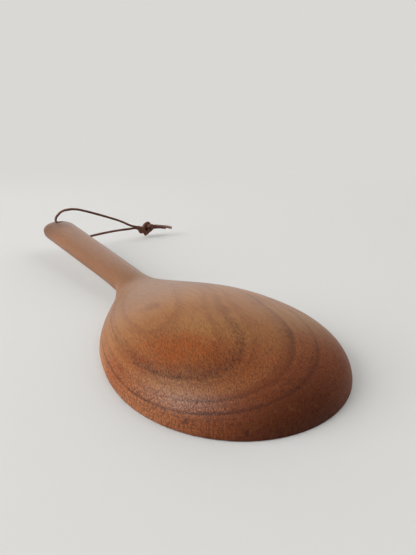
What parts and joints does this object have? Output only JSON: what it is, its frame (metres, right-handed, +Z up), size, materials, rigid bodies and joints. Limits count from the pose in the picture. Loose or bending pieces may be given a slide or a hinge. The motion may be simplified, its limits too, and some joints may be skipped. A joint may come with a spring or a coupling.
{
  "type": "wooden serving spoon",
  "caption": "Carved wooden serving spoon with a broad oval bowl, a plain round-ended handle and a knotted leather thong to hang it by.",
  "frame": {"origin": "on the table, under the middle of the wooden body, with the spoon lying face down on the rim of its bowl", "axes": "+X along the handle towards the tip of the bowl, +Z up from the table, +Y to the side where the thong lies"},
  "size_m": [0.2178, 0.1215, 0.0271],
  "materials": {
    "wood": "sanded and oiled, satin, with a ring figure on the back of the bowl",
    "leather": "dark brown round leather cord, matt"
  },
  "bodies": {
    "spoon": {"spoon_body": "wood"},
    "thong": {"thong_upper_leg": "leather", "thong_lower_leg": "leather", "thong_knot": "leather", "thong_long_tail": "leather", "thong_short_tail": "leather"}
  },
  "joints": [
    {"name": "thong_swing", "type": "hinge", "parent": "spoon", "child": "thong", "pos_m": [-0.1011, 0, 0.01425], "axis": [0, 0, 1], "range_deg": [-45, 225]}
  ]
}
